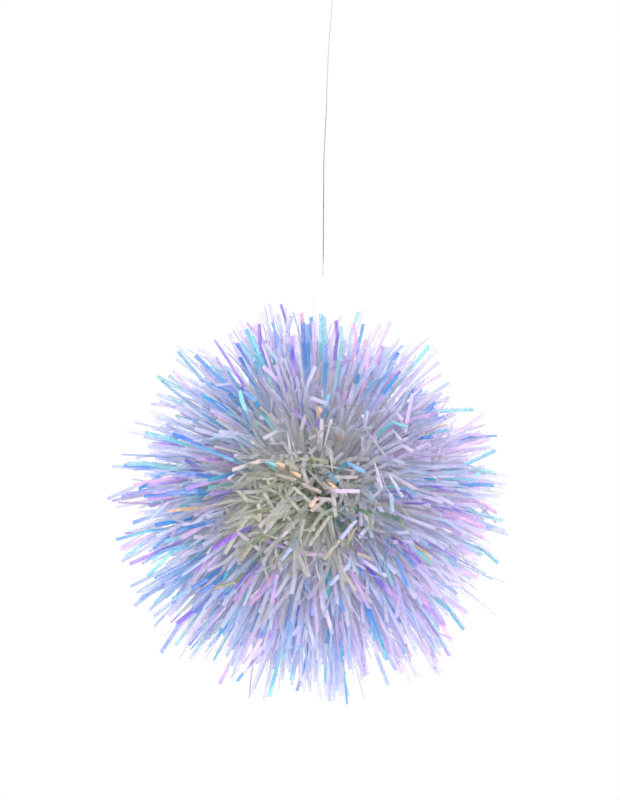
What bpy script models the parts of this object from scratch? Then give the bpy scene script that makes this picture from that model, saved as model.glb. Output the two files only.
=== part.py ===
"""A pom pom ball of slit iridescent film, hung on a clear thread that ends in a tied loop.

Metres, +Z up. The origin is the inside of the top of the hanging loop, where a hook bears, and the ball hangs
plumb below it. The ball is a hank of film strips bound at its middle, so the strips stand out all round.
"""

import math
import random

import bmesh
import bpy
from mathutils import Matrix, Vector

# Fit
CLEARANCE = 0.0003  # between two pieces that touch
STRAND_GAP = 0.0003  # between two bundles of strips

# Film strips
BALL_REACH = 0.0945  # tie centre to the longest common tips
TIP_SCATTER = 0.0360  # how much shorter than that a strip may be
TIP_FAVOUR = 1.15  # above one, more of the strips are long than short
SHORTEST_REACH = 0.0500  # tie centre to the shortest tips anywhere
LOCK_WIDTH = 0.0026  # a few strips that cling together, seen flat
LOCK_THICKNESS = 0.0004
ROOT_REACH = 0.0085  # tie centre to where the packed strips part
CELLS_PER_SIDE = 3  # bundles along a side of each of the ball's six faces
LOCK_ROWS = 5
LOCK_COLUMNS = 6
TIP_SWAY = 0.30  # share of its own place that a tip strays to either side
TWIST = math.radians(40)
SEED = 7

# Where the trimmed outline stands proud or falls short: azimuth, elevation, change and spread
OUTLINE_SWELLS = (
    (0, 46, -0.0270, 11),
    (0, 25, -0.0020, 10),
    (0, -2, -0.0130, 14),
    (0, -48, 0.0050, 12),
    (0, -90, 0.0060, 10),
    (0, 90, 0.0040, 9),
    (0, 70, -0.0060, 7),
    (180, 52, 0.0070, 8),
    (180, 40, -0.0080, 5),
    (180, 20, 0.0060, 8),
    (180, -36, -0.0060, 10),
    (180, -70, -0.0060, 7),
    (90, -50, 0.0030, 20),
    (250, -30, -0.0040, 18),
    (105, 25, -0.0060, 15),
)

# Centre tie
TIE_RADIUS = 0.0050
TIE_CORD = 0.0014
TIE_TURNS = 7
TIE_RINGS_PER_TURN = 3
TIE_SIDES = 12

# Hanging thread, knot and loop
THREAD_DIAMETER = 0.0005
KNOT_RADIUS = 0.0012
KNOT_HEIGHT = 0.0030
LOOP_HEIGHT = 0.0160
LOOP_WIDTH = 0.0090
LOOP_PINCH = 0.7  # how strongly the loop draws in towards the knot
THREAD_POINTS = 44
THREAD_SIDES = 8
LOOP_STEPS = 32
# The thread's route, as distance below the knot and sideways bow
THREAD_ROUTE = (
    (0.0000, 0.0000),
    (0.0080, -0.0001),
    (0.0180, -0.0006),
    (0.0290, -0.0010),
    (0.0420, -0.0011),
    (0.0560, -0.0011),
    (0.0700, -0.0013),
    (0.0820, -0.0014),
    (0.0950, -0.0011),
    (0.1080, -0.0007),
    (0.1210, -0.0003),
    (0.1350, -0.0001),
    (0.1500, 0.0000),
    (0.1750, 0.0000),
    (0.2050, 0.0000),
    (0.2384, 0.0000),
)

CELL_ANGLE = math.radians(90 / CELLS_PER_SIDE)
KNOT_TOP = -LOOP_HEIGHT
THREAD_TOP = KNOT_TOP - KNOT_HEIGHT - CLEARANCE
TIE_CENTRE = Vector((0, 0, THREAD_TOP - THREAD_ROUTE[-1][0] - CLEARANCE - TIE_RADIUS))


def clear_scene():
    for old in list(bpy.data.objects):
        bpy.data.objects.remove(old, do_unlink=True)


def finish(name, colour, roughness):
    made = bpy.data.materials.new(name)
    made.use_nodes = True
    shader = made.node_tree.nodes["Principled BSDF"]
    shader.inputs["Base Color"].default_value = (*colour, 1)
    shader.inputs["Roughness"].default_value = roughness
    shader.inputs["Metallic"].default_value = 0.0
    return made


def add_mesh(name, shape, material, place=(0, 0, 0)):
    mesh = bpy.data.meshes.new(name)
    shape.to_mesh(mesh)
    shape.free()
    mesh.materials.append(material)
    made = bpy.data.objects.new(name, mesh)
    made.location = place
    bpy.context.collection.objects.link(made)
    return made


def heading(azimuth, elevation):
    azimuth, elevation = math.radians(azimuth), math.radians(elevation)
    flat = math.cos(elevation)
    return Vector((flat * math.cos(azimuth), flat * math.sin(azimuth), math.sin(elevation)))


def outline(way):
    """How far the trimmed strips reach from the tie in this direction."""
    reach = BALL_REACH
    for azimuth, elevation, change, spread in OUTLINE_SWELLS:
        off = way.angle(heading(azimuth, elevation)) / math.radians(spread)
        reach += change * math.exp(-off * off)
    return reach


def ball_faces():
    """The six faces of a cube blown up to a ball, turned so that four bundles meet under the thread."""
    meeting = math.tan(CELL_ANGLE / 2) if CELLS_PER_SIDE % 2 else 0.0
    turn = Vector((meeting, meeting, 1)).rotation_difference(Vector((0, 0, 1))).to_matrix()
    axes = [Vector((1, 0, 0)), Vector((0, 1, 0)), Vector((0, 0, 1))]
    for number, normal in enumerate(axes):
        across = axes[(number + 1) % 3]
        up = axes[(number + 2) % 3]
        yield turn @ normal, turn @ across, turn @ up
        yield turn @ -normal, turn @ up, turn @ across


def face_way(face, angle_a, angle_b):
    normal, across, up = face
    return (normal + across * math.tan(angle_a) + up * math.tan(angle_b)).normalized()


def tip_angle(place, places, rng):
    """Where a lock ends between two sides of its bundle, with room for its own width at both."""
    edge = math.asin((LOCK_WIDTH + STRAND_GAP) / 2 / SHORTEST_REACH)
    sway = rng.uniform(-TIP_SWAY, TIP_SWAY)
    return edge + (CELL_ANGLE - 2 * edge) * (place + 0.5 + sway) / places


def side_plane(normal, across, angle):
    """The plane through the tie's centre at this angle on a face of the ball, facing the greater angles."""
    return across * math.cos(angle) - normal * math.sin(angle)


def bundle_corner(axis, distance, sides):
    """The point at this distance along the bundle's axis that keeps clear of two of its sides."""
    rows = Matrix((axis, sides[0][0], sides[1][0]))
    return rows.inverted() @ Vector((distance, sides[0][1], sides[1][1]))


def side_room(side, axis):
    """Half the gap beside a bundle, or room for the thread where it runs down between four of them."""
    beside_thread = abs(side.z) < 1e-4 and axis.z > 0.5
    return THREAD_DIAMETER / 2 + CLEARANCE if beside_thread else STRAND_GAP / 2


def tip_section(centre, way, across, twist, flat_first):
    """The four corners of a lock's square-cut end."""
    along = (across - way * across.dot(way)).normalized()
    along = Matrix.Rotation(twist, 3, way) @ along
    other = way.cross(along)
    size = (LOCK_WIDTH, LOCK_THICKNESS) if flat_first else (LOCK_THICKNESS, LOCK_WIDTH)
    along *= size[0] / 2
    other *= size[1] / 2
    return [centre - along - other, centre + along - other, centre + along + other, centre - along + other]


def film_bundle(name, face, cell, rng, material):
    """Strips packed side by side from the tie to ROOT_REACH, then standing out apart as locks."""
    normal, across, up = face
    low_a, low_b = (-math.radians(45) + CELL_ANGLE * place for place in cell)
    axis = face_way(face, low_a + CELL_ANGLE / 2, low_b + CELL_ANGLE / 2)
    left, right = side_plane(normal, across, low_a), -side_plane(normal, across, low_a + CELL_ANGLE)
    below, above = side_plane(normal, up, low_b), -side_plane(normal, up, low_b + CELL_ANGLE)
    pairs = [(left, below), (right, below), (right, above), (left, above)]
    rooms = [[(side, side_room(side, axis)) for side in pair] for pair in pairs]
    inner = [bundle_corner(axis, TIE_RADIUS + CLEARANCE, pair) for pair in rooms]
    outer = [bundle_corner(axis, ROOT_REACH, pair) for pair in rooms]

    shape = bmesh.new()
    base = [shape.verts.new(point) for point in inner]
    grid = []
    for row in range(LOCK_ROWS + 1):
        rise = row / LOCK_ROWS
        start, end = outer[0].lerp(outer[3], rise), outer[1].lerp(outer[2], rise)
        grid.append([shape.verts.new(start.lerp(end, n / LOCK_COLUMNS)) for n in range(LOCK_COLUMNS + 1)])

    shape.faces.new(base[::-1])
    shape.faces.new([base[0], base[1], *grid[0][::-1]])
    shape.faces.new([base[1], base[2], *[line[-1] for line in grid[::-1]]])
    shape.faces.new([base[2], base[3], *grid[-1]])
    shape.faces.new([base[3], base[0], *[line[0] for line in grid]])

    for row in range(LOCK_ROWS):
        for column in range(LOCK_COLUMNS):
            root = [grid[row][column], grid[row][column + 1], grid[row + 1][column + 1], grid[row + 1][column]]
            if (row + column) % 2:
                shape.faces.new(root)
                continue
            angle_a = low_a + tip_angle(column, LOCK_COLUMNS, rng)
            angle_b = low_b + tip_angle(row, LOCK_ROWS, rng)
            way = face_way(face, angle_a, angle_b)
            reach = outline(way) - TIP_SCATTER * rng.random() ** TIP_FAVOUR
            centre = way * max(reach, SHORTEST_REACH)
            tip = tip_section(centre, way, across, rng.uniform(-TWIST, TWIST), rng.random() < 0.5)
            end = [shape.verts.new(point) for point in tip]
            for n in range(4):
                shape.faces.new([root[n], root[(n + 1) % 4], end[(n + 1) % 4], end[n]])
            shape.faces.new(end)
    bmesh.ops.triangulate(shape, faces=shape.faces[:])
    return add_mesh(name, shape, material, TIE_CENTRE)


def film_bundles():
    film = finish("iridescent_film", (0.62, 0.60, 0.86), 0.25)
    rng = random.Random(SEED)
    number = 0
    for face in ball_faces():
        for row in range(CELLS_PER_SIDE):
            for column in range(CELLS_PER_SIDE):
                number += 1
                film_bundle(f"film_bundle_{number:02d}", face, (column, row), rng, film)


def centre_tie():
    """A cord wound round the middle of the hank, turn beside turn, into a small ball."""
    cord = finish("tie_cord", (0.75, 0.75, 0.78), 0.7)
    stations = TIE_RINGS_PER_TURN * TIE_TURNS
    shape = bmesh.new()
    rings = []
    for n in range(1, stations):
        slope = math.pi * n / stations
        groove = TIE_CORD / 4 * (1 - abs(math.sin(slope * TIE_TURNS)))
        radius = TIE_RADIUS - groove
        ring = []
        for k in range(TIE_SIDES):
            turn = 2 * math.pi * k / TIE_SIDES
            flat = radius * math.sin(slope)
            point = (flat * math.cos(turn), flat * math.sin(turn), radius * math.cos(slope))
            ring.append(shape.verts.new(point))
        rings.append(ring)
    for upper, lower in zip(rings, rings[1:]):
        for k in range(TIE_SIDES):
            after = (k + 1) % TIE_SIDES
            shape.faces.new([upper[k], lower[k], lower[after], upper[after]])
    shape.faces.new(rings[0])
    shape.faces.new(rings[-1][::-1])
    return add_mesh("centre_tie", shape, cord, TIE_CENTRE)


def smooth_route(points, count):
    """The same number of points at any length, read from a smooth curve through the route's own points."""
    read = []
    for n in range(count):
        place = n / (count - 1) * (len(points) - 1)
        start = min(int(place), len(points) - 2)
        share = place - start
        before, here = points[max(start - 1, 0)], points[start]
        there, after = points[start + 1], points[min(start + 2, len(points) - 1)]
        leave, arrive = (there - before) / 2, (after - here) / 2
        square, cube = share**2, share**3
        read.append(
            here * (2 * cube - 3 * square + 1)
            + leave * (cube - 2 * square + share)
            + there * (3 * square - 2 * cube)
            + arrive * (cube - square)
        )
    return read


def hanging_thread(clear_nylon):
    route = [Vector((bow, 0, THREAD_TOP - below)) for below, bow in THREAD_ROUTE]
    curve = bpy.data.curves.new("hanging_thread", "CURVE")
    curve.dimensions = "3D"
    curve.bevel_depth = THREAD_DIAMETER / 2
    curve.bevel_resolution = THREAD_SIDES // 2 - 2
    curve.use_fill_caps = True
    spline = curve.splines.new("POLY")
    spline.points.add(THREAD_POINTS - 1)
    for point, place in zip(spline.points, smooth_route(route, THREAD_POINTS)):
        point.co = (*place, 1)
    curve.materials.append(clear_nylon)
    made = bpy.data.objects.new("hanging_thread", curve)
    bpy.context.collection.objects.link(made)
    return made


def loop_route():
    """A teardrop in the XZ plane: round above, drawn in to the knot below."""
    radius = THREAD_DIAMETER / 2
    bottom = KNOT_TOP - KNOT_HEIGHT / 2
    middle, half_height = (radius + bottom) / 2, (radius - bottom) / 2
    route = []
    for n in range(LOOP_STEPS):
        turn = 2 * math.pi * n / LOOP_STEPS
        aside = LOOP_WIDTH / 2 * math.sin(turn) * math.sin(turn / 2) ** LOOP_PINCH
        route.append(Vector((aside, 0, middle - half_height * math.cos(turn))))
    return route


def loop_ring():
    """The loop of thread above the knot, closed inside it."""
    route = loop_route()
    forward = Vector((0, 1, 0))
    shape = bmesh.new()
    rings = []
    for n, centre in enumerate(route):
        along = (route[(n + 1) % LOOP_STEPS] - route[n - 1]).normalized()
        aside = along.cross(forward)
        ring = []
        for k in range(THREAD_SIDES):
            turn = 2 * math.pi * k / THREAD_SIDES
            out = aside * math.cos(turn) + forward * math.sin(turn)
            ring.append(shape.verts.new(centre + out * THREAD_DIAMETER / 2))
        rings.append(ring)
    for n, ring in enumerate(rings):
        following = rings[(n + 1) % LOOP_STEPS]
        for k in range(THREAD_SIDES):
            after = (k + 1) % THREAD_SIDES
            shape.faces.new([ring[k], ring[after], following[after], following[k]])
    bmesh.ops.recalc_face_normals(shape, faces=shape.faces[:])
    return shape


def knot_barrel():
    """The turns of an overhand knot, drawn tight."""
    shape = bmesh.new()
    bmesh.ops.create_uvsphere(shape, u_segments=12, v_segments=8, radius=1)
    squash = Matrix.Diagonal((KNOT_RADIUS, KNOT_RADIUS, KNOT_HEIGHT / 2, 1))
    lift = Matrix.Translation((0, 0, KNOT_TOP - KNOT_HEIGHT / 2))
    bmesh.ops.transform(shape, matrix=lift @ squash, verts=shape.verts[:])
    return shape


def hanging_loop(clear_nylon):
    loop = add_mesh("hanging_loop", loop_ring(), clear_nylon)
    knot = add_mesh("knot_guide", knot_barrel(), clear_nylon)
    knot.hide_render = True
    knot.display_type = "WIRE"
    join = loop.modifiers.new("knot", "BOOLEAN")
    join.operation = "UNION"
    join.solver = "EXACT"
    join.object = knot
    return loop


clear_scene()
film_bundles()
centre_tie()
nylon = finish("clear_nylon", (0.55, 0.57, 0.70), 0.15)
hanging_thread(nylon)
hanging_loop(nylon)
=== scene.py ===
import math
import random

import bpy
from mathutils import Matrix, Vector


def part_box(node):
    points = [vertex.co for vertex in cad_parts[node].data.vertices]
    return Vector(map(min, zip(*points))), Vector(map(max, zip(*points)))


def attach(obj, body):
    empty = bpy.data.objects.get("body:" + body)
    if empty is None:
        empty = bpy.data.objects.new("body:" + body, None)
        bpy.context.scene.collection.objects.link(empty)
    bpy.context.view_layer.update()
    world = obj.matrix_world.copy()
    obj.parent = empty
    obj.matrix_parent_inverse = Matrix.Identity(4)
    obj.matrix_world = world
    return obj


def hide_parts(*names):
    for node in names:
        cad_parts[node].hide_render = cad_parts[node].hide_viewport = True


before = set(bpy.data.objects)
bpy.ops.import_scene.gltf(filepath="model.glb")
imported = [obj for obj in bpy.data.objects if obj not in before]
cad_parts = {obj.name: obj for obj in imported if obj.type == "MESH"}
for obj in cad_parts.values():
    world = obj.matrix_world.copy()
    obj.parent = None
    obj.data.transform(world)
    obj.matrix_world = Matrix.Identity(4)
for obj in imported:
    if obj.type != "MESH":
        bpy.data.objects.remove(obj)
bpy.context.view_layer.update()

# The camera stands level with the ball, 1.6 m in front of it and turned slightly about its own line of sight,
# as it was held for the picture. The ball hangs plumb.
CAMERA_PLACE = (-0.00424, -1.6, -0.21515)
CAMERA_LENS = 150
CAMERA_SENSOR = 36
CAMERA_ROLL = math.radians(-1.913)

eye = bpy.data.cameras.new("eye")
eye.lens = CAMERA_LENS
eye.sensor_width = CAMERA_SENSOR
eye.clip_start = 0.05
camera = bpy.data.objects.new("camera", eye)
camera.location = CAMERA_PLACE
camera.rotation_euler = (math.radians(90), CAMERA_ROLL, 0)
bpy.context.scene.collection.objects.link(camera)
bpy.context.scene.camera = camera
bpy.context.scene.view_settings.view_transform = "Standard"
# Enough bounces for the light to come through many layers of film
bpy.context.scene.cycles.diffuse_bounces = 12
bpy.context.scene.cycles.transparent_max_bounces = 32

# Hanging thread: one length of clear nylon line, knotted at the top and tied round the middle of the strips below.
# It runs straight down between the strips, with a bow of a millimetre where it was wound before.
THREAD_DIAMETER = 0.0005
THREAD_TOP = -0.0193
THREAD_POINTS = 44
THREAD_LOW = -0.26  # about where it ends below, for its colours
# The thread's route, as distance below the knot and sideways bow
THREAD_ROUTE = (
    (0.0000, 0.0000),
    (0.0080, -0.0001),
    (0.0180, -0.0006),
    (0.0290, -0.0010),
    (0.0420, -0.0011),
    (0.0560, -0.0011),
    (0.0700, -0.0013),
    (0.0820, -0.0014),
    (0.0950, -0.0011),
    (0.1080, -0.0007),
    (0.1210, -0.0003),
    (0.1350, -0.0001),
    (0.1500, 0.0000),
    (0.1750, 0.0000),
    (0.2050, 0.0000),
    (0.2384, 0.0000),
)


def smooth_route(points, count):
    """Evenly counted points on a smooth curve through the route's own points."""
    read = []
    for n in range(count):
        place = n / (count - 1) * (len(points) - 1)
        start = min(int(place), len(points) - 2)
        share = place - start
        before, here = points[max(start - 1, 0)], points[start]
        there, after = points[start + 1], points[min(start + 2, len(points) - 1)]
        leave, arrive = (there - before) / 2, (after - here) / 2
        square, cube = share**2, share**3
        read.append(
            here * (2 * cube - 3 * square + 1)
            + leave * (cube - 2 * square + share)
            + there * (3 * square - 2 * cube)
            + arrive * (cube - square)
        )
    return read


def linear(red, green, blue):
    """A colour as it looks on a screen, 0 to 255, as the shader takes it."""
    parts = [value / 255 for value in (red, green, blue)]
    return (*[p / 12.92 if p <= 0.04045 else ((p + 0.055) / 1.055) ** 2.4 for p in parts], 1)


def new_material(name):
    made = bpy.data.materials.new(name)
    made.use_nodes = True
    tree = made.node_tree
    return made, tree, tree.nodes["Principled BSDF"]


def colour_steps(tree, steps):
    """A colour ramp of (place, colour) steps."""
    ramp = tree.nodes.new("ShaderNodeValToRGB")
    elements = ramp.color_ramp.elements
    while len(elements) > 1:
        elements.remove(elements[-1])
    elements[0].position = steps[0][0]
    elements[0].color = linear(*steps[0][1])
    for place, colour in steps[1:]:
        elements.new(place).color = linear(*colour)
    return ramp


# Painted light and shade of the clear line, as it shows against the room: nearly white against the ball, dark in the
# middle of its length and greyer towards the knot
nylon, tree, shader = new_material("clear_nylon")
place = tree.nodes.new("ShaderNodeTexCoord")
axes = tree.nodes.new("ShaderNodeSeparateXYZ")
height = tree.nodes.new("ShaderNodeMapRange")
height.inputs["From Min"].default_value = THREAD_LOW
height.inputs["From Max"].default_value = 0.0
streak = tree.nodes.new("ShaderNodeTexNoise")
streak.inputs["Scale"].default_value = 90
streak.inputs["Detail"].default_value = 3
wander = tree.nodes.new("ShaderNodeMath")
wander.operation = "MULTIPLY_ADD"
wander.inputs[1].default_value = 0.10
nylon_painted_shade = colour_steps(
    tree,
    [
        (0.10, (220, 222, 234)),
        (0.42, (232, 234, 244)),
        (0.48, (78, 82, 112)),
        (0.58, (62, 64, 92)),
        (0.66, (104, 102, 138)),
        (0.80, (146, 140, 168)),
        (1.00, (160, 156, 182)),
    ],
)
tree.links.new(place.outputs["Object"], axes.inputs[0])
tree.links.new(axes.outputs["Z"], height.inputs["Value"])
tree.links.new(place.outputs["Object"], streak.inputs["Vector"])
tree.links.new(streak.outputs["Fac"], wander.inputs[0])
tree.links.new(height.outputs[0], wander.inputs[2])
tree.links.new(wander.outputs[0], nylon_painted_shade.inputs["Fac"])
tree.links.new(nylon_painted_shade.outputs["Color"], shader.inputs["Base Color"])
shader.inputs["Roughness"].default_value = 0.22
shader.inputs["IOR"].default_value = 1.53

route = [Vector((bow, 0, THREAD_TOP - below)) for below, bow in THREAD_ROUTE]
line = bpy.data.curves.new("nylon_thread", "CURVE")
line.dimensions = "3D"
line.bevel_depth = THREAD_DIAMETER / 2
line.bevel_resolution = 2
line.use_fill_caps = True
spline = line.splines.new("POLY")
spline.points.add(THREAD_POINTS - 1)
for point, spot in zip(spline.points, smooth_route(route, THREAD_POINTS)):
    point.co = (*spot, 1)
line.materials.append(nylon)
thread = bpy.data.objects.new("nylon_thread", line)
bpy.context.scene.collection.objects.link(thread)
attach(thread, "root")
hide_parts("hanging_thread")
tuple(route[-1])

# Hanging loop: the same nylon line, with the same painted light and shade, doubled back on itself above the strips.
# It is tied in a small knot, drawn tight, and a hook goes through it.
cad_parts["hanging_loop"].material_slots[0].material = nylon

# Centre tie: soft white twisted cord, wound round the middle of the hank of strips and pulled tight.
# It holds every strip and the lower end of the thread. The strips hide it.
cord, tree, shader = new_material("tie_cord")
place = tree.nodes.new("ShaderNodeTexCoord")
twist = tree.nodes.new("ShaderNodeTexWave")
twist.inputs["Scale"].default_value = 900
twist.inputs["Distortion"].default_value = 2
# painted shade: the white cord is darker down in the grooves of its twist, where the bump sinks, and lighter on its
# strands
cord_groove_shade = colour_steps(tree, [(0.0, (150, 150, 158)), (0.6, (196, 196, 204)), (1.0, (222, 222, 228))])
lay = tree.nodes.new("ShaderNodeBump")
lay.inputs["Strength"].default_value = 0.6
lay.inputs["Distance"].default_value = 0.0002
tree.links.new(place.outputs["Object"], twist.inputs["Vector"])
tree.links.new(twist.outputs["Fac"], cord_groove_shade.inputs["Fac"])
tree.links.new(cord_groove_shade.outputs["Color"], shader.inputs["Base Color"])
tree.links.new(twist.outputs["Fac"], lay.inputs["Height"])
tree.links.new(lay.outputs["Normal"], shader.inputs["Normal"])
shader.inputs["Roughness"].default_value = 0.8
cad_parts["centre_tie"].material_slots[0].material = cord

# Film strips: some four thousand flat strips slit from clear iridescent film, 1.9 mm wide and cut square, held at
# the middle by the tie. They cling in small locks, and the cut that trimmed the ball left them of uneven length.
STRIP_WIDTH = 0.0019
STRIP_THICKNESS = 0.00008
STRIP_CREASE = 0.00018  # how far the middle stands up between the edges
STRIP_STEPS = 6  # straight parts along a strip
ROOT_START = 0.0052  # tie centre to where a strip shows
ROOT_SHARE = 0.95  # a strip's width there, beside its full width
WIDENING = 3  # it has its full width by one part in this many of its length
CELLS_PER_SIDE = 3  # bundles along a side of each of the ball's six faces
LOCK_ROWS = 5
LOCK_COLUMNS = 6
STRIPS_PER_LOCK = 5
BUNDLES_PER_PIECE = 3
BALL_REACH = 0.0945  # tie centre to the longest common tips
TIP_SCATTER = 0.0360  # how much shorter than that a lock may be
TIP_FAVOUR = 1.15  # above one, more of the locks are long than short
SHORTEST_REACH = 0.0500
LOCK_WIDTH = 0.0026
STRAND_GAP = 0.0003
TIP_SWAY = 0.30  # share of its own place that a lock strays to either side
TWIST = math.radians(40)
LOCK_SPREAD = math.radians(2.6)  # how far the strips of a lock part
STRIP_EXCESS = 0.0018  # a strip beyond its lock's own cut, on average
REACH_SPREAD = 0.0050
STRIP_DROOP = 0.004  # under its own weight, at the tip of a level strip
STRIP_RISE = 3.2  # how much a strip rises before it droops
LOCK_BEND = 0.004  # sideways, at the tips of a whole lock
STRIP_BEND = 0.007  # the same for one strip, all along
STRIP_HOOK = 0.006  # the same for its last part only
HOOK_START = 0.6  # share of the strip where that part starts
HOOK_FULL = 0.16
HOOK_SHORTENING = 0.5  # how much nearer to the tie a hooked tip comes
TURN_RATE = 1.8  # how soon a strip leaves its bundle's direction for its own
STRAY_SHARE = 0.08
STRAY_BEND = 2.6
CRUMPLED_SHARE = 0.35
CRUMPLE = 0.0008
ROLL_SPREAD = 0.7
TWIST_SPREAD = 1.1
# In front and at the back the strips lie over more, and in front they part to the right of the middle
FRONT_START = 0.72
FRONT_FADE = 0.28
FRONT_BEND = 0.010
FRONT_HOOK = 0.021
FRONT_TWIST = 1.8
FRONT_LEAN = Vector((-0.006, 0, -0.003))
LEAN_START = 0.55
LEAN_FADE = 0.45
# Where the trimmed outline stands proud or falls short: azimuth, elevation, change and spread
OUTLINE_SWELLS = (
    (0, 46, -0.0270, 11),
    (0, 25, -0.0020, 10),
    (0, -2, -0.0130, 14),
    (0, -48, 0.0050, 12),
    (0, -90, 0.0060, 10),
    (0, 90, 0.0080, 9),
    (0, 70, -0.0060, 7),
    (180, 52, 0.0070, 8),
    (180, 40, -0.0080, 5),
    (180, 20, 0.0060, 8),
    (180, -36, -0.0060, 10),
    (180, -70, -0.0060, 7),
    (90, -50, 0.0030, 20),
    (250, -30, -0.0040, 18),
    (105, 25, -0.0060, 15),
)
CELL_ANGLE = math.radians(90 / CELLS_PER_SIDE)

tie_low, tie_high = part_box("centre_tie")
TIE_CENTRE = (tie_low + tie_high) / 2

# One strip, as long as it is wide and thick: a plain slip with cuts along and across for its bends and crease.
# Each strip of the ball is a copy of it, stretched along its own route.
for other in bpy.context.selected_objects:
    other.select_set(False)
bpy.ops.mesh.primitive_cube_add(size=1, location=(0.5, 0, 0))
slip = bpy.context.object
slip.name = "slip"
bpy.ops.object.transform_apply(location=True, rotation=True, scale=True)
bpy.ops.object.mode_set(mode="EDIT")
for cut in range(1, STRIP_STEPS):
    bpy.ops.mesh.select_all(action="SELECT")
    bpy.ops.mesh.bisect(plane_co=(cut / STRIP_STEPS, 0, 0), plane_no=(1, 0, 0))
bpy.ops.mesh.select_all(action="SELECT")
bpy.ops.mesh.bisect(plane_co=(0, 0, 0), plane_no=(0, 1, 0))
bpy.ops.object.mode_set(mode="OBJECT")

slip_points = [vertex.co.copy() for vertex in slip.data.vertices]
slip_faces = [list(face.vertices) for face in slip.data.polygons]
slip_normals = [face.normal.copy() for face in slip.data.polygons]
bpy.data.objects.remove(slip, do_unlink=True)


EDGE_SHARE = 0.02  # of the way round a strip, for each of its thin edges
CUT_START = 0.985  # of the way along a strip, for its cut end
CUT_SHARE = 0.01
BODY_START = 0.015
BODY_SHARE = 0.965


def around_slip(point, normal):
    """Where a corner lies round the strip, from 0 to 1: front, edge, back, edge."""
    flat_share = 0.5 - 2 * EDGE_SHARE
    if normal.z > 0.5:
        return EDGE_SHARE + flat_share * (point.y + 0.5)
    if normal.z < -0.5:
        return 0.5 + EDGE_SHARE + flat_share * (0.5 - point.y)
    if normal.y > 0.5:
        return 0.5 + EDGE_SHARE * (0.5 - point.z) * 2 - EDGE_SHARE
    if normal.y < -0.5:
        return EDGE_SHARE * (point.z + 0.5)
    return EDGE_SHARE + flat_share * (point.y + 0.5)


def along_slip(point, normal):
    """Where a corner lies along the strip, from 0 to 1, with its two ends in lanes of their own."""
    if abs(normal.x) > 0.5:
        return round(point.x) * CUT_START + CUT_SHARE * (point.z + 0.5)
    return BODY_START + BODY_SHARE * point.x


slip_places = []
for corners, normal in zip(slip_faces, slip_normals):
    for corner in corners:
        point = slip_points[corner]
        slip_places.append((around_slip(point, normal), along_slip(point, normal)))


def heading(azimuth, elevation):
    azimuth, elevation = math.radians(azimuth), math.radians(elevation)
    flat = math.cos(elevation)
    return Vector((flat * math.cos(azimuth), flat * math.sin(azimuth), math.sin(elevation)))


swells = [
    (heading(azimuth, elevation), change, math.radians(spread))
    for azimuth, elevation, change, spread in OUTLINE_SWELLS
]


def outline(way):
    """How far the trimmed strips reach from the tie in this direction."""
    reach = BALL_REACH
    for middle, change, spread in swells:
        off = way.angle(middle) / spread
        reach += change * math.exp(-off * off)
    return reach


def ball_faces():
    """The six faces of a cube blown up to a ball, turned so that four bundles meet under the thread."""
    meeting = math.tan(CELL_ANGLE / 2)
    turn = Vector((meeting, meeting, 1)).rotation_difference(Vector((0, 0, 1))).to_matrix()
    axes = [Vector((1, 0, 0)), Vector((0, 1, 0)), Vector((0, 0, 1))]
    for number, normal in enumerate(axes):
        across = axes[(number + 1) % 3]
        up = axes[(number + 2) % 3]
        yield turn @ normal, turn @ across, turn @ up
        yield turn @ -normal, turn @ up, turn @ across


def face_way(face, angle_a, angle_b):
    normal, across, up = face
    return (normal + across * math.tan(angle_a) + up * math.tan(angle_b)).normalized()


# Colours of the film, by a strip's own tone: at its ends, and where it is packed
END_COLOURS = [
    (0.00, (166, 240, 238)),
    (0.10, (96, 226, 240)),
    (0.17, (36, 178, 240)),
    (0.25, (56, 146, 242)),
    (0.33, (168, 206, 252)),
    (0.42, (206, 225, 252)),
    (0.54, (222, 227, 252)),
    (0.66, (213, 210, 252)),
    (0.77, (216, 200, 250)),
    (0.83, (240, 196, 240)),
    (0.89, (180, 156, 250)),
    (0.95, (100, 84, 228)),
    (0.972, (104, 88, 226)),
    (0.985, (252, 220, 172)),
]
PACKED_COLOURS = [
    (0.00, (92, 186, 182)),
    (0.025, (120, 214, 170)),
    (0.045, (188, 238, 170)),
    (0.07, (236, 244, 186)),
    (0.11, (243, 252, 226)),
    (0.26, (243, 250, 230)),
    (0.42, (243, 251, 240)),
    (0.60, (242, 247, 252)),
    (0.86, (236, 242, 255)),
    (0.93, (248, 242, 224)),
    (0.955, (250, 214, 150)),
    (0.985, (246, 190, 150)),
]
END_DRIFT = 0.4  # how far the tone wanders along a strip's end
PACKED_DRIFT = 0.7  # the same where it is packed
END_START = 0.040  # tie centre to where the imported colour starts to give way, and where it has gone
END_FULL = 0.080
START_SPREAD = 0.020  # how far from strip to strip that place moves
# Painted shade on the packed film, darker further from the tie
PAINTED_SHADE_START = 0.045  # tie centre to where packed film starts to darken, and where it is darkest
PAINTED_SHADE_FULL = 0.085
PAINTED_SHADE_DARKEST = 0.43
DEEP_START = 0.076  # the same for the ends, where the film lies single
DEEP_FULL = 0.090
DEEPEST = 0.84
DRIFT_SCALE = (0.2, 45, 1)  # of the slow change of colour and gloss, round and along a strip
CRINKLE_SCALE = (3.0, 260, 1)
CRINKLE_DEPTH = 0.0008
# how much lighter and darker the crinkles are painted, as light and shade
CRINKLE_PAINTED_SHADE = (0.88, 1.10)
NOISE_RANGE = (0.3, 0.7)  # where most of a noise's values lie
FILM_ROUGHNESS = (0.12, 0.34)
FILM_IOR = 1.6
SHEEN_THICKNESS = 420  # nanometres of the thin layer that makes the film iridescent
SHEEN_IOR = 1.9


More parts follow.
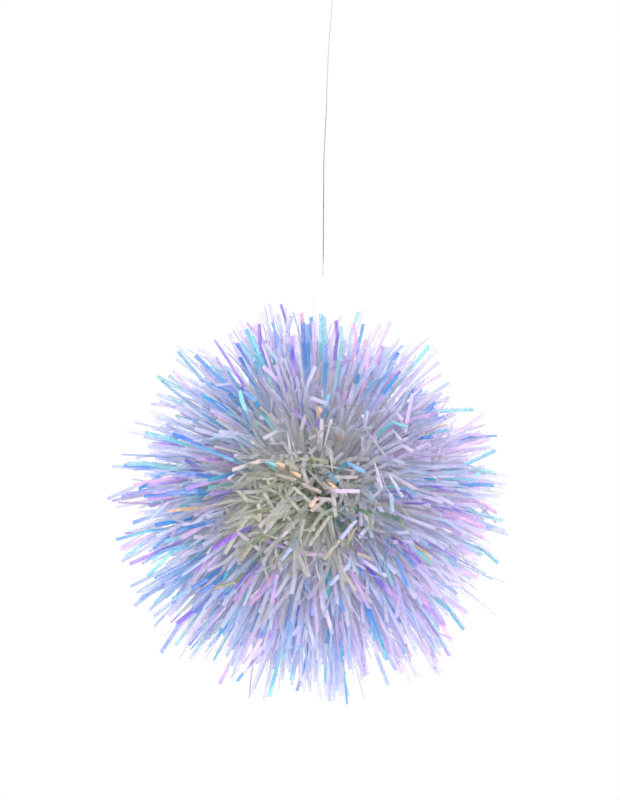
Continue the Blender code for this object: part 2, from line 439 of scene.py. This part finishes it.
def film(name, solid_share, drifting=1.0, painted_dimming=1.0):
    """Clear film that shows blue, cyan, violet and pink at its ends and a dull grey green where it is packed, painted
    darker as shade the further out the packed colour reaches, with its crinkles painted lighter and darker as light
    and shade.
    """
    made, tree, shader = new_material(name)
    tone = tree.nodes.new("ShaderNodeAttribute")
    tone.attribute_name = "strip_tone"
    tones = tree.nodes.new("ShaderNodeSeparateXYZ")
    tree.links.new(tone.outputs["Vector"], tones.inputs[0])
    along = tree.nodes.new("ShaderNodeUVMap")
    along.uv_map = "strip_way"
    drift = tree.nodes.new("ShaderNodeTexNoise")
    drift.inputs["Scale"].default_value = 1.0
    drift.inputs["Detail"].default_value = 2
    stretch = tree.nodes.new("ShaderNodeMapping")
    stretch.inputs["Scale"].default_value = DRIFT_SCALE
    tree.links.new(along.outputs["UV"], stretch.inputs["Vector"])
    tree.links.new(stretch.outputs[0], drift.inputs["Vector"])
    # the ends take their colour from the strip's own tone, which wanders along the strip
    shift = tree.nodes.new("ShaderNodeMath")
    shift.operation = "MULTIPLY_ADD"
    shift.inputs[1].default_value = END_DRIFT * drifting
    centred = tree.nodes.new("ShaderNodeMath")
    centred.operation = "SUBTRACT"
    centred.inputs[1].default_value = 0.5
    tree.links.new(drift.outputs["Fac"], centred.inputs[0])
    tree.links.new(centred.outputs[0], shift.inputs[0])
    tree.links.new(tones.outputs["X"], shift.inputs[2])
    ends = colour_steps(tree, END_COLOURS)
    tree.links.new(shift.outputs[0], ends.inputs["Fac"])
    # the outer two centimetres are deeper in colour, where the film lies single
    place = tree.nodes.new("ShaderNodeTexCoord")
    from_tie = tree.nodes.new("ShaderNodeVectorMath")
    from_tie.operation = "DISTANCE"
    from_tie.inputs[1].default_value = TIE_CENTRE
    tree.links.new(place.outputs["Object"], from_tie.inputs[0])
    deeper = tree.nodes.new("ShaderNodeMapRange")
    deeper.inputs["From Min"].default_value = DEEP_START
    deeper.inputs["From Max"].default_value = DEEP_FULL
    deeper.inputs["To Min"].default_value = 1.0
    deeper.inputs["To Max"].default_value = DEEPEST
    tree.links.new(from_tie.outputs["Value"], deeper.inputs["Value"])
    end_colour = tree.nodes.new("ShaderNodeVectorMath")
    end_colour.operation = "SCALE"
    tree.links.new(ends.outputs["Color"], end_colour.inputs[0])
    tree.links.new(deeper.outputs[0], end_colour.inputs["Scale"])
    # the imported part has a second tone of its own
    inner = colour_steps(tree, PACKED_COLOURS)
    inner_shift = tree.nodes.new("ShaderNodeMath")
    inner_shift.operation = "MULTIPLY_ADD"
    inner_shift.inputs[1].default_value = PACKED_DRIFT * drifting
    tree.links.new(centred.outputs[0], inner_shift.inputs[0])
    tree.links.new(tones.outputs["Y"], inner_shift.inputs[2])
    tree.links.new(inner_shift.outputs[0], inner.inputs["Fac"])
    # where on the strip the one gives way to the other
    outward = tree.nodes.new("ShaderNodeMapRange")
    outward.interpolation_type = "SMOOTHSTEP"
    outward.inputs["From Min"].default_value = END_START
    outward.inputs["From Max"].default_value = END_FULL
    start = tree.nodes.new("ShaderNodeMath")
    start.operation = "MULTIPLY_ADD"
    start.inputs[1].default_value = START_SPREAD
    tree.links.new(tones.outputs["Z"], start.inputs[0])
    tree.links.new(from_tie.outputs["Value"], start.inputs[2])
    tree.links.new(start.outputs[0], outward.inputs["Value"])
    # painted shade: the imported colour is painted darker the further out from the tie it reaches, as it does in
    # front
    painted_shade = tree.nodes.new("ShaderNodeMapRange")
    painted_shade.inputs["From Min"].default_value = PAINTED_SHADE_START
    painted_shade.inputs["From Max"].default_value = PAINTED_SHADE_FULL
    painted_shade.inputs["To Min"].default_value = 1.0
    painted_shade.inputs["To Max"].default_value = PAINTED_SHADE_DARKEST
    tree.links.new(from_tie.outputs["Value"], painted_shade.inputs["Value"])
    shaded_inner = tree.nodes.new("ShaderNodeVectorMath")
    shaded_inner.operation = "SCALE"
    tree.links.new(inner.outputs["Color"], shaded_inner.inputs[0])
    tree.links.new(painted_shade.outputs[0], shaded_inner.inputs["Scale"])
    blend = tree.nodes.new("ShaderNodeMix")
    blend.data_type = "RGBA"
    tree.links.new(outward.outputs[0], blend.inputs["Factor"])
    tree.links.new(shaded_inner.outputs[0], blend.inputs["A"])
    tree.links.new(end_colour.outputs[0], blend.inputs["B"])
    # fine lengthwise crinkles, painted lighter on their ridges and darker in their hollows as light and shade
    crinkle = tree.nodes.new("ShaderNodeTexNoise")
    crinkle.inputs["Scale"].default_value = 1.0
    crinkle.inputs["Detail"].default_value = 3
    fine = tree.nodes.new("ShaderNodeMapping")
    fine.inputs["Scale"].default_value = CRINKLE_SCALE
    tree.links.new(along.outputs["UV"], fine.inputs["Vector"])
    tree.links.new(fine.outputs[0], crinkle.inputs["Vector"])
    crinkle_shading = tree.nodes.new("ShaderNodeHueSaturation")
    value = tree.nodes.new("ShaderNodeMapRange")
    value.inputs["From Min"].default_value = NOISE_RANGE[0]
    value.inputs["From Max"].default_value = NOISE_RANGE[1]
    value.inputs["To Min"].default_value = CRINKLE_PAINTED_SHADE[0] * painted_dimming
    value.inputs["To Max"].default_value = CRINKLE_PAINTED_SHADE[1] * painted_dimming
    tree.links.new(crinkle.outputs["Fac"], value.inputs["Value"])
    tree.links.new(value.outputs[0], crinkle_shading.inputs["Value"])
    tree.links.new(blend.outputs["Result"], crinkle_shading.inputs["Color"])
    tree.links.new(crinkle_shading.outputs["Color"], shader.inputs["Base Color"])
    # gloss that comes and goes, and shallow dents under it
    gloss = tree.nodes.new("ShaderNodeMapRange")
    gloss.inputs["From Min"].default_value = NOISE_RANGE[0]
    gloss.inputs["From Max"].default_value = NOISE_RANGE[1]
    gloss.inputs["To Min"].default_value = FILM_ROUGHNESS[0]
    gloss.inputs["To Max"].default_value = FILM_ROUGHNESS[1]
    tree.links.new(drift.outputs["Fac"], gloss.inputs["Value"])
    tree.links.new(gloss.outputs[0], shader.inputs["Roughness"])
    dent = tree.nodes.new("ShaderNodeBump")
    dent.inputs["Strength"].default_value = 0.8
    dent.inputs["Distance"].default_value = CRINKLE_DEPTH
    tree.links.new(crinkle.outputs["Fac"], dent.inputs["Height"])
    tree.links.new(dent.outputs["Normal"], shader.inputs["Normal"])
    shader.inputs["Metallic"].default_value = 0.0
    shader.inputs["IOR"].default_value = FILM_IOR
    shader.inputs["Thin Film Thickness"].default_value = SHEEN_THICKNESS
    shader.inputs["Thin Film IOR"].default_value = SHEEN_IOR
    shader.inputs["Alpha"].default_value = solid_share
    return made


# The film round the tie, in the middle of the strips and at their ends; brighter ends that catch the light; and the
# loose strips' own, which is painted darker as shade. What is left of each figure to one is how far it can be seen
# through.
packed_film = film("film_packed", 0.5)
middle_film = film("film_middle", 0.4)
end_film = film("film_ends", 0.52)
accent_film = film("film_accents", 0.65)
# painted shade: the loose strips' film is the same film painted a fifth darker, since they lie out in front in the
# full light
loose_film = film("film_loose", 0.68, drifting=0.15, painted_dimming=0.80)
ACCENT_FILM = 3
LOOSE_FILM = 4
OWN_FILM_FROM = {ACCENT_FILM: 2, LOOSE_FILM: 1}  # the part of a strip from which its own film shows
MIDDLE_START = 0.55
TIP_START = 0.72
LOCK_SEED = 7
SEED = 11

locks = random.Random(LOCK_SEED)
rng = random.Random(SEED)


def strip_route(way, root_way, reach, bend, hook, crumple):
    """Out from the tie, up a little, then down under the strip's own weight."""
    stations = []
    level = math.sqrt(max(0.0, 1 - way.z * way.z))
    for step in range(STRIP_STEPS + 1):
        share = step / STRIP_STEPS
        ease = min(1.0, share * TURN_RATE)
        ease = ease * ease * (3 - 2 * ease)
        here = root_way.lerp(way, ease).normalized()
        out = ROOT_START + (reach - ROOT_START) * share
        curl = max(0.0, share - HOOK_START) ** 2 / HOOK_FULL
        spot = here * out + bend * share * share + hook * curl
        spot = spot.normalized() * (out - HOOK_SHORTENING * hook.length * curl)
        spot.z += level * STRIP_DROOP * (STRIP_RISE * share * (1 - share) - share * share)
        if crumple and step:
            spot = spot + Vector([rng.gauss(0, crumple) for _ in range(3)])
        stations.append(spot)
    return stations


def lay_strip(stations, roll, twist, helper=None):
    """The slip's points, laid along one strip's route."""
    way = stations[-1].normalized()
    helper = helper or (Vector((0, 0, 1)) if abs(way.z) < 0.8 else Vector((1, 0, 0)))
    placed = []
    for step, here in enumerate(stations):
        share = step / STRIP_STEPS
        before, after = stations[max(step - 1, 0)], stations[min(step + 1, STRIP_STEPS)]
        forward = (after - before).normalized()
        across = Matrix.Rotation(roll + twist * share, 3, forward) @ forward.cross(helper).normalized()
        up = forward.cross(across)
        width = STRIP_WIDTH * (ROOT_SHARE + (1 - ROOT_SHARE) * min(1.0, share * WIDENING))
        placed.append((here + TIE_CENTRE, across * width, up))
    laid = []
    for point in slip_points:
        here, across, up = placed[round(point.x * STRIP_STEPS)]
        crease = STRIP_CREASE if abs(point.y) < 0.1 else 0
        laid.append(here + across * point.y + up * (point.z * STRIP_THICKNESS + crease))
    return laid


def tip_angle(place, places):
    """Where a lock ends between two sides of its bundle, with room for its own width at both."""
    edge = math.asin((LOCK_WIDTH + STRAND_GAP) / 2 / SHORTEST_REACH)
    return edge + (CELL_ANGLE - 2 * edge) * (place + 0.5 + locks.uniform(-TIP_SWAY, TIP_SWAY)) / places


def any_way():
    return Vector([rng.gauss(0, 1) for _ in range(3)]).normalized()


def lean(way):
    """In front the strips part a little to the right of the middle and lie over to the left and down."""
    facing = max(0.0, -way.y - LEAN_START) / LEAN_FADE
    return FRONT_LEAN * facing


def bent_strip(way, axis, reach, lock_bend, lock_roll):
    """One strip of a lock, bent, hooked and twisted by amounts of its own, and by more in front and behind."""
    loose = STRAY_BEND if rng.random() < STRAY_SHARE else 1.0
    bend = lock_bend + any_way() * abs(rng.gauss(0, STRIP_BEND)) * loose + lean(way)
    facing = max(0.0, abs(way.y) - FRONT_START) / FRONT_FADE
    bend += any_way() * abs(rng.gauss(0, FRONT_BEND)) * facing
    hook = any_way() * abs(rng.gauss(0, STRIP_HOOK)) * loose
    hook += any_way() * abs(rng.gauss(0, FRONT_HOOK)) * facing
    crumple = CRUMPLE + CRUMPLE * facing if rng.random() < CRUMPLED_SHARE else 0
    stations = strip_route(way, axis.lerp(way, 0.5).normalized(), reach, bend, hook, crumple)
    roll, twist = lock_roll + rng.gauss(0, ROLL_SPREAD), rng.gauss(0, TWIST_SPREAD) * (1 + FRONT_TWIST * facing)
    return lay_strip(stations, roll, twist)


# Tones are places on the film's colours. Most ends are pale blue to pink, bluer to the left and below. Some are a
# strong cyan, blue or violet, more of them at the left. The middle in front keeps the imported film's olive tint,
# which its painted shade makes dull and dark.
LOCK_TONE = 0.56
TONE_SPREAD = 0.12
PALE_TONES = (0.34, 0.86)
LEFT_BLUE = 0.16
LEFT_START = 0.25
LOW_BLUE = 0.08
LOW_START = 0.2
ACCENT_SHARE = 0.13
LEFT_ACCENTS = 1.6
LEFT_SIDE = -0.3
BLUE_SHARE = 0.78
BLUE_TONES = (0.02, 0.27)
VIOLET_TONES = (0.86, 0.94)
# Painted shade: in front and behind, the imported colour is pushed out towards the tips, where its painted shade
# darkens it
SHADED_AXIS = Vector((-0.13, -0.985, 0.10)).normalized()
SHADED_SIDE_START = 0.8
SHADED_SIDE_FADE = 0.2
SHADE_PUSH = 3.2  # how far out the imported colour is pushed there
OLIVE_AXIS = Vector((-0.24, -0.97, -0.02)).normalized()
OLIVE_FADE = 0.20
OLIVE_TONE = 0.11
PACKED_TONES = (0.05, 0.82)
PACKED_SPREAD = 0.50
BESIDE_TONE = 0.34  # added where the olive has faded


def strip_colour(way, lock_tone):
    """A strip's tone at its end, its tone where it is packed and where the one gives way, and its own film if any."""
    bias = -LEFT_BLUE * max(0.0, -way.x - LEFT_START) - LOW_BLUE * max(0.0, -way.z - LOW_START)
    # in front and behind, the packed colour and its painted shade reach out to the tips
    dull_and_shaded = max(0.0, abs(way.dot(SHADED_AXIS)) - SHADED_SIDE_START) / SHADED_SIDE_FADE
    begin = rng.uniform(-1, 1) - SHADE_PUSH * dull_and_shaded
    accent = rng.random() < ACCENT_SHARE * (LEFT_ACCENTS if way.x < LEFT_SIDE else 1.0)
    if accent:
        tone = rng.uniform(*BLUE_TONES) if rng.random() < BLUE_SHARE else rng.uniform(*VIOLET_TONES)
    else:
        tone = min(PALE_TONES[1], max(PALE_TONES[0], lock_tone + bias + rng.gauss(0, TONE_SPREAD)))
    beside = min(1.0, (1 - way.dot(OLIVE_AXIS)) / OLIVE_FADE)
    packed_tone = OLIVE_TONE + PACKED_SPREAD * rng.uniform(*PACKED_TONES) + BESIDE_TONE * beside
    return (tone, packed_tone, begin), ACCENT_FILM if accent else 0


LANE_MARGIN = 0.06  # each strip has a lane of its own on the baking map, with room beside it
LANE_WIDTH = 0.88
STRIP_OFFSET = 3.7  # so that no two strips share a stretch of the film's pattern
PIECE_OFFSET = 0.31
LENGTH_OFFSET = 0.13


def film_piece(name, points, tones, reaches, own_films, number, replaced):
    """One mesh of laid strips, with the marks that the film's material reads."""
    count, size = len(points), len(slip_points)
    mesh = bpy.data.meshes.new(name)
    faces = [[corner + size * n for corner in corners] for n in range(count) for corners in slip_faces]
    mesh.from_pydata([spot for strip in points for spot in strip], [], faces)
    columns = math.ceil(count / 2)
    lanes, ways = [], []
    for n in range(count):
        for around, along in slip_places:
            lanes += [(n % columns + LANE_MARGIN + LANE_WIDTH * around) / columns, (n // columns + along) / 2]
            ways += [n * STRIP_OFFSET + number * PIECE_OFFSET + around * 2, reaches[n] * along + n * LENGTH_OFFSET]
    mesh.uv_layers.new(name="OFBake").data.foreach_set("uv", lanes)
    mesh.uv_layers.new(name="strip_way").data.foreach_set("uv", ways)
    mark = mesh.attributes.new("strip_tone", "FLOAT_VECTOR", "POINT")
    mark.data.foreach_set("vector", [value for tone in tones for _ in range(size) for value in tone])
    for material in (packed_film, middle_film, end_film, accent_film, loose_film):
        mesh.materials.append(material)
    films = [own if own and part >= OWN_FILM_FROM[own] else part for own in own_films for part in slip_parts]
    mesh.polygons.foreach_set("material_index", films)
    mesh.update()
    piece = bpy.data.objects.new(name, mesh)
    bpy.context.scene.collection.objects.link(piece)
    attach(piece, "root")
    if replaced:
        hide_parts(*replaced)


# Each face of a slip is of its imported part, its middle or its end
slip_parts = []
for corners in slip_faces:
    share = sum(slip_points[corner].x for corner in corners) / len(corners)
    slip_parts.append(0 if share < MIDDLE_START else 1 if share < TIP_START else 2)

# Every piece is a row of three bundles, laid lock by lock along the locks of the solids
piece_number = 0
for face in ball_faces():
    for row in range(CELLS_PER_SIDE):
        points, tones, reaches, own_films, replaced = [], [], [], [], []
        for column in range(CELLS_PER_SIDE):
            replaced.append(f"film_bundle_{len(replaced) + 1 + piece_number * BUNDLES_PER_PIECE:02d}")
            low_a = -math.radians(45) + CELL_ANGLE * column
            low_b = -math.radians(45) + CELL_ANGLE * row
            axis = face_way(face, low_a + CELL_ANGLE / 2, low_b + CELL_ANGLE / 2)
            for lock_row in range(LOCK_ROWS):
                for lock_column in range(LOCK_COLUMNS):
                    if (lock_row + lock_column) % 2:
                        continue
                    lock_a = low_a + tip_angle(lock_column, LOCK_COLUMNS)
                    lock_b = low_b + tip_angle(lock_row, LOCK_ROWS)
                    lock_cut = TIP_SCATTER * locks.random() ** TIP_FAVOUR
                    lock_turn = locks.uniform(-TWIST, TWIST)
                    lock_flat = locks.random() < 0.5
                    lock_tone = rng.gauss(LOCK_TONE, TONE_SPREAD)
                    lock_roll = lock_turn + (math.pi / 2 if lock_flat else 0)
                    lock_bend = any_way() * abs(rng.gauss(0, LOCK_BEND))
                    for _ in range(STRIPS_PER_LOCK):
                        way = face_way(face, lock_a + rng.gauss(0, LOCK_SPREAD), lock_b + rng.gauss(0, LOCK_SPREAD))
                        reach = max(outline(way) - lock_cut, SHORTEST_REACH) + rng.gauss(STRIP_EXCESS, REACH_SPREAD)
                        points.append(bent_strip(way, axis, reach, lock_bend, lock_roll))
                        tone, own_film = strip_colour(way, lock_tone)
                        tones.append(tone)
                        own_films.append(own_film)
                        reaches.append(reach)
        piece_number += 1
        film_piece(f"film_strips_{piece_number:02d}", points, tones, reaches, own_films, piece_number, replaced)

# Loose strips: the ones that show singly in front and round the edge, bent over the others or longer than they are.
# Each is the same film, painted darker as shade, held by the tie as the rest are.
LOOSE_LENGTH = 0.096
LOOSE_TWIST = 0.2
TO_THE_BEND = (0.3, 0.6, 0.86)  # where its straight parts meet, as shares of the way to its bend
TO_THE_TIP = (0.12, 0.52)  # and from there to its tip
LOOSE_PACKED_TONE = 0.5
BRIGHT_BEGIN = -0.4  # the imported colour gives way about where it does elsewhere
DULL_BEGIN = -4.0  # it never does
TIP_FORWARD = 0.002  # how much nearer to the front a tip is than its bend
BALL_MIDDLE = (315.5, 500)  # where the tie is in the picture
FRONT_SCALE = 0.00046  # metres to a pixel there, at the front of the ball
# Where each shows, from where it comes out to its tip, in the picture's own pixels, with its tone and roll
BRIGHT_STRIPS = (
    (329, 486, 359, 486, 0.62, 0.1),
    (357, 513, 340, 533, 0.36, 0.2),
    (400, 537, 420, 558, 0.97, 0.5),
    (373, 455, 381, 483, 0.54, 0.5),
    (361, 419, 385, 452, 0.54, 0.8),
    (387, 468, 402, 492, 0.50, 0.4),
    (391, 528, 385, 567, 0.38, 1.1),
    (292, 541, 281, 554, 0.36, 0.2),
    (404, 485, 411, 494, 0.96, 0.8),
    (419, 499, 429, 496, 0.94, 0.9),
    (390, 417, 406, 423, 0.08, 0.3),
    (192, 557, 152, 577, 0.19, 0.1),
    (208, 575, 170, 598, 0.12, 0.2),
    (209, 574, 192, 584, 0.24, 0.2),
    (215, 579, 200, 588, 0.22, 0.2),
    (242, 526, 213, 544, 0.96, 0.3),
    (248, 567, 235, 584, 0.94, 0.9),
    (235, 483, 211, 499, 0.95, 1.2),
    (190, 544, 166, 547, 0.13, 0.3),
    (187, 523, 176, 528, 0.22, 0.2),
    (201, 487, 166, 489, 0.20, 0.1),
    (198, 486, 152, 493, 0.24, 0.3),
    (198, 470, 177, 469, 0.24, 0.1),
    (178, 499, 162, 512, 0.54, 1.3),
    (203, 530, 186, 552, 0.54, 1.3),
    (238, 458, 193, 440, 0.16, 0.6),
    (170, 436, 142, 429, 0.10, 0.1),
    (142, 460, 123, 461, 0.03, 0.1),
    (405, 410, 478, 405, 0.09, 0.1),
    (405, 430, 413, 389, 0.66, 0.2),
    (436, 415, 450, 392, 0.60, 0.9),
    (462, 465, 499, 447, 0.12, 0.2),
    (476, 465, 500, 471, 0.02, 0.2),
    (480, 481, 496, 482, 0.18, 0.1),
    (476, 510, 507, 519, 0.02, 0.2),
    (458, 514, 487, 524, 0.80, 0.2),
    (480, 498, 500, 511, 0.80, 0.3),
    (468, 431, 488, 432, 0.68, 0.4),
    (190, 392, 150, 371, 0.07, 0.1),
    (206, 385, 172, 345, 0.12, 0.5),
    (150, 492, 116, 498, 0.44, 0.8),
    (148, 503, 112, 501, 0.80, 0.9),
    (434, 640, 441, 676, 0.09, 0.2),
    (452, 610, 468, 632, 0.12, 0.3),
    (486, 548, 503, 563, 0.10, 0.2),
    (345, 457, 364, 467, 0.15, 0.1),
    (265, 456, 277, 460, 0.06, 0.4),
    (275, 457, 285, 461, 0.99, 0.3),
    (291, 466, 301, 471, 0.99, 0.3),
    (317, 491, 310, 501, 0.99, 0.2),
    (328, 466, 337, 477, 0.15, 0.7),
    (328, 477, 335, 482, 0.99, 0.4),
    (318, 401, 321, 408, 0.99, 0.3),
    (424, 546, 431, 557, 0.99, 0.8),
    (434, 424, 446, 420, 0.99, 1.0),
    (182, 505, 167, 507, 0.99, 0.4),
    (302, 322, 301, 307, 0.82, 0.2),
    (303, 340, 303, 317, 0.22, 0.1),
    (307, 340, 308, 319, 0.20, 0.3),
    (311, 326, 311, 311, 0.16, 0.2),
    (314, 340, 313, 317, 0.68, 0.3),
    (321, 341, 321, 308, 0.09, 0.1),
    (326, 338, 324, 311, 0.06, 0.4),
    (326, 360, 325, 340, 0.20, 0.2),
    (338, 332, 336, 315, 0.93, 0.3),
    (342, 338, 341, 321, 0.03, 0.2),
    (358, 336, 353, 318, 0.82, 0.4),
    (259, 345, 258, 318, 0.92, 0.2),
    (256, 359, 239, 337, 0.14, 0.2),
    (260, 352, 251, 331, 0.10, 0.3),
    (368, 374, 367, 348, 0.82, 0.3),
    (257, 398, 244, 387, 0.18, 0.2),
    (398, 412, 406, 428, 0.62, 0.2),
    (404, 430, 416, 424, 0.50, 1.2),
    (410, 436, 424, 430, 0.44, 1.1),
    (400, 440, 412, 447, 0.60, 0.2),
    (392, 425, 400, 436, 0.50, 0.5),
    (415, 445, 430, 440, 0.66, 0.3),
    (395, 408, 402, 416, 0.50, 0.2),
    (408, 418, 422, 412, 0.45, 1.2),
    (420, 428, 434, 424, 0.70, 1.0),
    (376, 470, 379, 492, 0.52, 1.35),
    (362, 408, 364, 424, 0.52, 1.4),
    (386, 540, 381, 575, 0.20, 1.4),
    (226, 476, 244, 462, 0.50, 1.4),
    (205, 552, 217, 534, 0.52, 1.45),
    (233, 452, 246, 446, 0.52, 1.4),
    (430, 470, 444, 480, 0.50, 1.4),
    (446, 500, 462, 512, 0.52, 1.4),
    (402, 566, 412, 584, 0.50, 1.4),
    (352, 592, 360, 612, 0.52, 1.4),
    (280, 590, 272, 612, 0.50, 1.4),
    (240, 420, 252, 432, 0.50, 1.4),
    (300, 372, 306, 390, 0.52, 1.4),
    (340, 386, 338, 404, 0.50, 1.4),
)
# The same for the ones that keep the imported film's dull green, yellow and orange up to their ends, where the
# painted shade darkens it
DULL_STRIPS = (
    (332, 507, 309, 540, 0.048, 0.2),
    (326, 502, 309, 526, 0.04, 0.3),
    (367, 506, 372, 525, 0.035, 0.4),
    (397, 512, 404, 524, 0.03, 0.4),
    (346, 527, 323, 554, 0.05, 0.2),
    (356, 520, 345, 540, 0.05, 0.5),
    (400, 501, 407, 511, 0.22, 0.6),
    (258, 400, 274, 417, 0.24, 0.7),
    (309, 452, 328, 458, 0.055, 0.3),
    (274, 469, 296, 475, 0.30, 0.4),
    (326, 439, 327, 450, 0.70, 0.6),
    (252, 507, 261, 516, 0.05, 0.3),
    (355, 547, 371, 553, 0.22, 0.5),
    (254, 537, 241, 554, 0.05, 0.3),
    (237, 577, 215, 583, 0.055, 0.3),
    (300, 478, 321, 487, 0.24, 0.2),
    (321, 476, 337, 491, 0.30, 0.5),
    (309, 507, 326, 493, 0.14, 0.2),
)


def seen_place(across, down, out):
    """A place on the ball from where it shows in front and how far out from the tie it is."""
    aside, below = across - BALL_MIDDLE[0], down - BALL_MIDDLE[1]
    x = FRONT_SCALE * (aside * math.cos(CAMERA_ROLL) - below * math.sin(CAMERA_ROLL))
    z = FRONT_SCALE * (-aside * math.sin(CAMERA_ROLL) - below * math.cos(CAMERA_ROLL))
    return Vector((x, -math.sqrt(max(0.0, out * out - x * x - z * z)), z))


points, tones, reaches, own_films = [], [], [], []
for strips, dull_and_shaded in ((BRIGHT_STRIPS, False), (DULL_STRIPS, True)):
    for start_x, start_y, tip_x, tip_y, tone, roll in strips:
        # out from the tie to the bend, then across to the tip
        shown = FRONT_SCALE * math.hypot(tip_x - start_x, tip_y - start_y)
        bent_at = seen_place(start_x, start_y, LOOSE_LENGTH - shown)
        tip = seen_place(tip_x, tip_y, 0) + Vector((0, bent_at.y - TIP_FORWARD, 0))
        stations = [bent_at.normalized() * ROOT_START, *[bent_at * share for share in TO_THE_BEND]]
        stations += [*[bent_at.lerp(tip, share) for share in TO_THE_TIP], tip]
        points.append(lay_strip(stations, roll, LOOSE_TWIST, Vector((0, 1, 0))))
        tones.append((tone, tone if dull_and_shaded else LOOSE_PACKED_TONE, DULL_BEGIN if dull_and_shaded else BRIGHT_BEGIN))
        reaches.append(LOOSE_LENGTH)
        own_films.append(LOOSE_FILM)
film_piece("film_strips_loose", points, tones, reaches, own_films, piece_number + 1, [])

# Room: a pale matt floor far under the ball, an even white studio all round it, and soft lamps. The front lamp is
# beside the camera and lights the depth of the ball between the strips.
FLOOR_RADIUS = 1.4
FLOOR_PLACE = (0, 0.2, -0.8)

bpy.ops.object.select_all(action="DESELECT")
bpy.ops.mesh.primitive_circle_add(vertices=96, radius=FLOOR_RADIUS, fill_type="NGON", location=FLOOR_PLACE)
floor = bpy.context.object
floor.name = "floor"
white_floor, tree, shader = new_material("white_floor")
shader.inputs["Base Color"].default_value = linear(240, 240, 240)
shader.inputs["Roughness"].default_value = 0.9
floor.data.materials.append(white_floor)

studio = bpy.data.worlds.new("studio")
bpy.context.scene.world = studio
studio.use_nodes = True
tree = studio.node_tree
sky = tree.nodes["Background"]
sky.inputs["Strength"].default_value = 1.0
sky.inputs["Color"].default_value = (1, 1, 1, 1)


def lamp(name, place, size, power):
    made = bpy.data.lights.new(name, "AREA")
    made.size = size
    made.energy = power
    holder = bpy.data.objects.new(name, made)
    holder.location = place
    holder.rotation_euler = (Vector(place) - TIE_CENTRE).to_track_quat("Z", "Y").to_euler()
    bpy.context.scene.collection.objects.link(holder)


lamp("key_lamp", (-1.1, -1.3, 0.9), 0.8, 7)
lamp("front_lamp", (0.03, -1.75, -0.18), 0.4, 25)
lamp("right_lamp", (1.5, -0.5, 0.3), 0.8, 7)
lamp("back_lamp", (-0.6, 1.6, 0.3), 0.8, 10)
lamp("back_side_lamp", (0.9, 1.4, 0.6), 0.8, 8)
